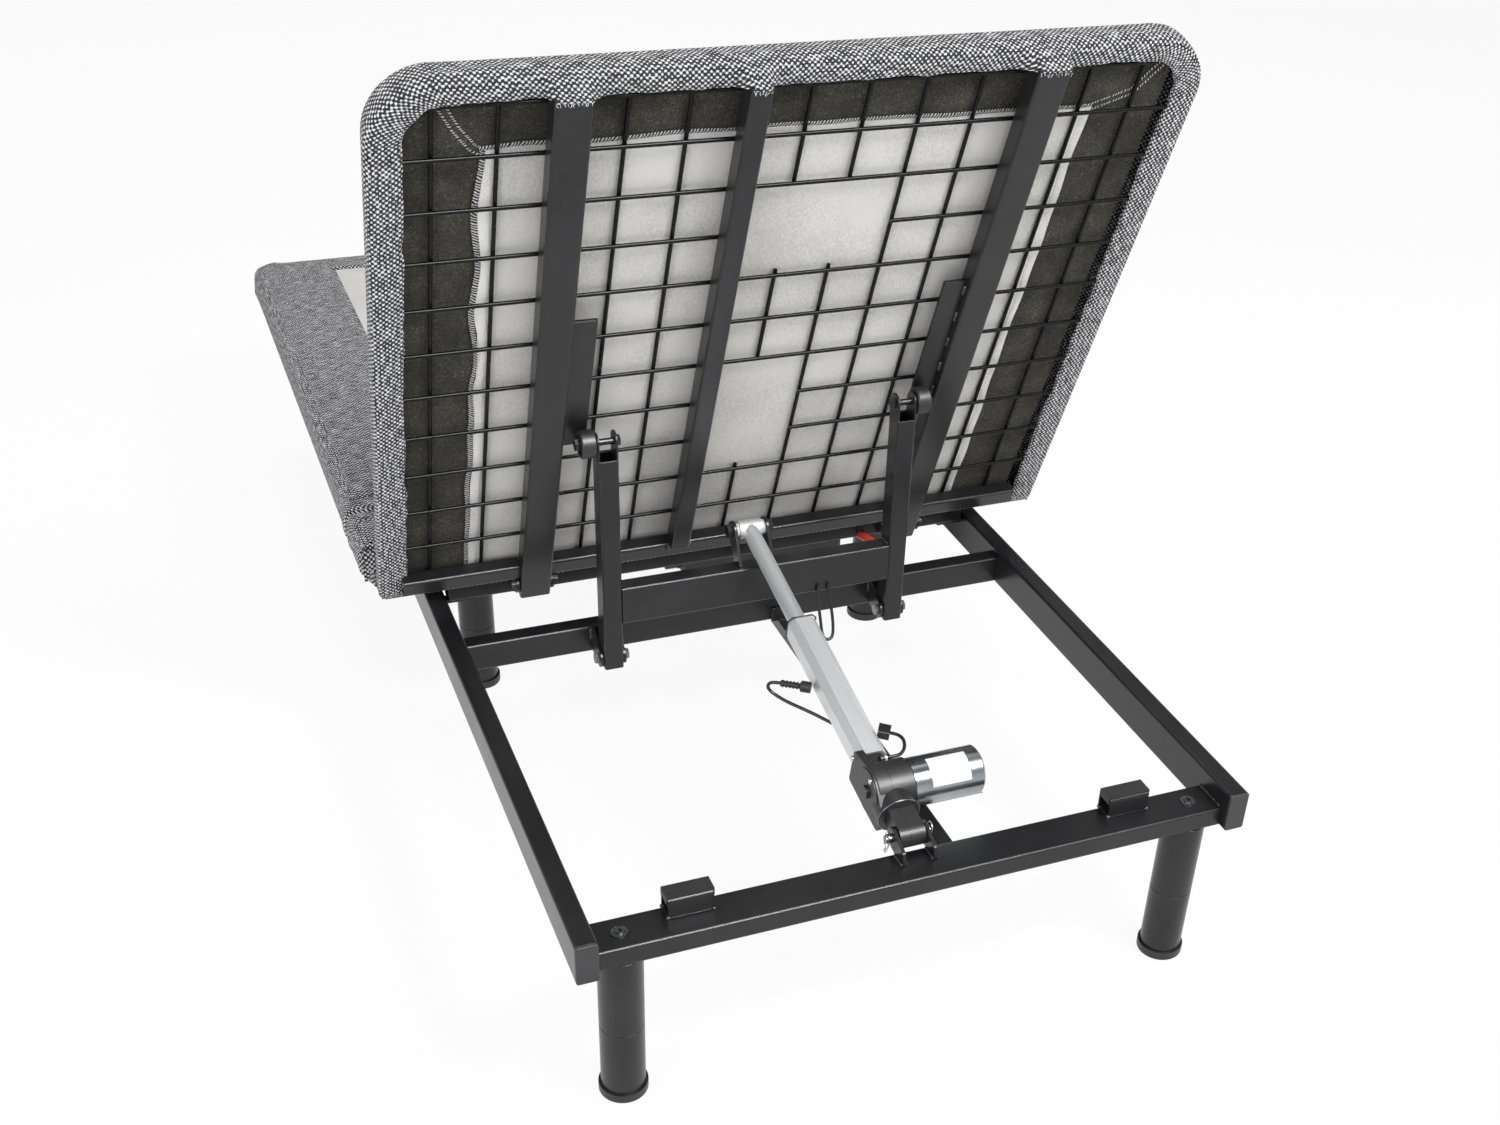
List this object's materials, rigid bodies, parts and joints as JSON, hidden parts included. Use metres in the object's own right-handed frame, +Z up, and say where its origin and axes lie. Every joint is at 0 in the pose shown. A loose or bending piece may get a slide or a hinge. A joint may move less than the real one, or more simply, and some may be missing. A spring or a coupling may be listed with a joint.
{
  "type": "adjustable bed base",
  "caption": "Motorised adjustable bed base: steel underframe on round legs, upholstered head and leg panels that fold up on lift arms with rollers and linear actuators.",
  "frame": {"origin": "on the floor, under the middle of the object's box in the stored pose", "axes": "+Y from the head end to the foot end, +Z up, +X to the right seen from the head end"},
  "size_m": [0.965, 1.794, 1.0039],
  "materials": {
    "upholstery_fabric": "woven grey melange upholstery",
    "black_wire": "powder coated wire",
    "black_plastic": "moulded, fine grain",
    "black_rubber": "matt rubber",
    "roller_plastic": "moulded nylon",
    "white_plastic": "moulded acetal",
    "aluminium": "extruded, satin",
    "rod_steel": "satin tube",
    "zinc_steel": "zinc plated",
    "bolt_steel": "black zinc",
    "lead_rubber": "soft sheath",
    "black_paint": "fine textured powder coat"
  },
  "bodies": {
    "base_frame": {"actuator_ears": "black_paint", "arm_pivot_brackets": "black_paint", "bumper_caps": "black_rubber", "control_box": "black_plastic", "foot_caps": "black_plastic", "foot_cross_rail": "black_paint", "frame_bolts": "bolt_steel", "head_cross_rail": "black_paint", "head_lift_rail": "black_paint", "leg_lift_rail": "black_paint", "leg_tubes": "black_paint", "panel_hinge_plates": "black_paint", "rail_end_caps": "black_plastic", "seat_cross_rail": "black_paint", "seat_frame_tubes": "black_paint", "seat_pad": "upholstery_fabric", "seat_wire_grid": "black_wire", "side_rail_left": "black_paint", "side_rail_right": "black_paint", "spine_tubes": "black_paint"},
    "head_panel": {"head_bottom_bar": "black_paint", "head_main_tube_left": "black_paint", "head_main_tube_right": "black_paint", "head_mid_tube": "black_paint", "head_pad": "upholstery_fabric", "head_track_plates": "black_paint", "head_wire_grid": "black_wire"},
    "leg_panel": {"leg_bottom_bar": "black_paint", "leg_main_tube_left": "black_paint", "leg_main_tube_right": "black_paint", "leg_mid_tube": "black_paint", "leg_pad": "upholstery_fabric", "leg_track_plates": "black_paint", "leg_wire_grid": "black_wire"},
    "head_lift_arm": {"crossbar_lead": "lead_rubber", "head_arm_left": "black_paint", "head_arm_pins": "bolt_steel", "head_arm_right": "black_paint", "head_crossbar": "black_paint"},
    "leg_lift_arm": {"leg_arm_left": "black_paint", "leg_arm_pins": "bolt_steel", "leg_arm_right": "black_paint", "leg_crossbar": "black_paint"},
    "head_roller_left": {"head_roller_left": "roller_plastic"},
    "head_roller_right": {"head_roller_right": "roller_plastic"},
    "leg_roller_left": {"leg_roller_left": "roller_plastic"},
    "leg_roller_right": {"leg_roller_right": "roller_plastic"},
    "head_rod": {"head_push_rod": "rod_steel", "head_rod_bushes": "white_plastic"},
    "leg_rod": {"leg_push_rod": "rod_steel", "leg_rod_bushes": "white_plastic"},
    "head_drive": {"drive_lead": "lead_rubber", "head_drive_tube": "aluminium", "head_gear_housing": "black_plastic", "head_motor_can": "zinc_steel", "lead_plugs": "lead_rubber", "motor_lead": "lead_rubber"},
    "leg_drive": {"leg_drive_tube": "aluminium", "leg_gear_housing": "black_plastic", "leg_motor_can": "zinc_steel"}
  },
  "joints": [
    {"name": "head_fold", "type": "hinge", "parent": "base_frame", "child": "head_panel", "pos_m": [0, -0.2032, 0.267], "axis": [1, 0, 0], "range_deg": [0, 68.1]},
    {"name": "head_arm_swing", "type": "hinge", "parent": "base_frame", "child": "head_lift_arm", "pos_m": [0, -0.327, 0.213], "axis": [1, 0, 0], "range_deg": [-0.5, 84.32]},
    {"name": "head_rod_swing", "type": "hinge", "parent": "head_lift_arm", "child": "head_rod", "pos_m": [0, -0.29962, 0.35393], "axis": [1, 0, 0], "range_deg": [-94.21, 0.5]},
    {"name": "head_drive_slide", "type": "slide", "parent": "head_rod", "child": "head_drive", "axis": [0, 0.9781, 0.2082], "range_m": [-0.001, 0.17707]},
    {"name": "leg_fold", "type": "hinge", "parent": "base_frame", "child": "leg_panel", "pos_m": [0, -0.037, 0.267], "axis": [1, 0, 0], "range_deg": [0, 42]},
    {"name": "leg_arm_swing", "type": "hinge", "parent": "base_frame", "child": "leg_lift_arm", "pos_m": [0, 0.275, 0.213], "axis": [1, 0, 0], "range_deg": [-0.5, 84.61]},
    {"name": "leg_rod_swing", "type": "hinge", "parent": "leg_lift_arm", "child": "leg_rod", "pos_m": [0, 0.41216, 0.25539], "axis": [1, 0, 0], "range_deg": [-94.47, 0.5]},
    {"name": "leg_drive_slide", "type": "slide", "parent": "leg_rod", "child": "leg_drive", "axis": [0, 0.9993, -0.037], "range_m": [-0.001, 0.17773]},
    {"name": "head_roller_left_spin", "type": "hinge", "parent": "head_lift_arm", "child": "head_roller_left", "pos_m": [-0.22, -0.32618, 0.5185], "axis": [1, 0, 0], "continuous": true},
    {"name": "head_roller_right_spin", "type": "hinge", "parent": "head_lift_arm", "child": "head_roller_right", "pos_m": [0.22, -0.32618, 0.5185], "axis": [1, 0, 0], "continuous": true},
    {"name": "leg_roller_left_spin", "type": "hinge", "parent": "leg_lift_arm", "child": "leg_roller_left", "pos_m": [-0.22, 0.57864, 0.2467], "axis": [1, 0, 0], "continuous": true},
    {"name": "leg_roller_right_spin", "type": "hinge", "parent": "leg_lift_arm", "child": "leg_roller_right", "pos_m": [0.22, 0.57864, 0.2467], "axis": [1, 0, 0], "continuous": true}
  ],
  "couplings": [
    {"joint": "head_arm_swing", "follows": "head_fold", "ratio": 1.2308},
    {"joint": "head_rod_swing", "follows": "head_fold", "ratio": -1.3761},
    {"joint": "head_drive_slide", "follows": "head_fold", "m_per_rad": 0.14814},
    {"joint": "leg_arm_swing", "follows": "leg_fold", "ratio": 2.0026},
    {"joint": "leg_rod_swing", "follows": "leg_fold", "ratio": -2.2374},
    {"joint": "leg_drive_slide", "follows": "leg_fold", "m_per_rad": 0.2411}
  ]
}
